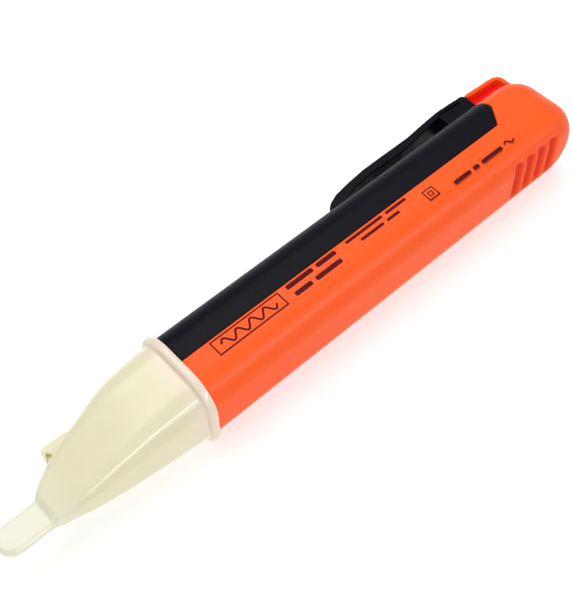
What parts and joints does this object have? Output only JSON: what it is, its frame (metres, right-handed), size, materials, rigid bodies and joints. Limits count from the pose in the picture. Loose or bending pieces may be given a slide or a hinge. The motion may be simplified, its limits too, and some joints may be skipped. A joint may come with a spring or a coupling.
{
  "type": "non contact voltage tester",
  "caption": "Pen-shaped voltage detector: square orange body, translucent tip with a flat probe blade, lift-off black battery cover and a springy pocket clip.",
  "frame": {"origin": "middle of the flat side that the pen lies on, between its flange and its tail", "axes": "+X along the pen towards its tail, +Y towards the clip, +Z out of the flat side that faces up"},
  "size_m": [0.1592, 0.0272, 0.0224],
  "materials": {
    "orange_plastic": "satin moulded ABS",
    "black_plastic": "fine matte grain, soft sheen on the edges",
    "ivory_plastic": "translucent, semi-gloss",
    "board": "solder mask",
    "brass": "stamped strip",
    "led_red": "clear epoxy",
    "component_black": "moulded epoxy",
    "capacitor_tan": "ceramic",
    "spring_steel": "nickel plated",
    "cell_blue": "printed foil sleeve",
    "wire_red": "insulated wire",
    "print_ink": "pad-printed ink"
  },
  "bodies": {
    "housing": {"main_housing": "orange_plastic", "tip_shell": "ivory_plastic", "circuit_board": "board", "sensing_antenna": "brass", "indicator_led": "led_red", "buzzer": "component_black", "amplifier_chip": "component_black", "switching_transistor": "component_black", "resistors": "component_black", "capacitors": "capacitor_tan", "contact_carrier": "component_black", "front_contact_spring": "spring_steel", "tail_contact_strip": "spring_steel", "supply_wire": "wire_red", "return_wire": "component_black", "battery_cell_front": "cell_blue", "battery_cell_rear": "cell_blue"},
    "cover": {"battery_cover": "black_plastic", "clip_mount": "black_plastic"},
    "clip": {"pocket_clip": "black_plastic"}
  },
  "joints": [
    {"name": "cover_hinge", "type": "hinge", "parent": "housing", "child": "cover", "pos_m": [-0.05555, 0.0099, 0.01], "axis": [0, 0, 1], "range_deg": [0, 30]},
    {"name": "clip_flex", "type": "hinge", "parent": "cover", "child": "clip", "pos_m": [0.03315, 0.0152, 0.01], "axis": [0, 0, -1], "range_deg": [0, 6], "stiffness_Nm_per_rad": 1}
  ]
}
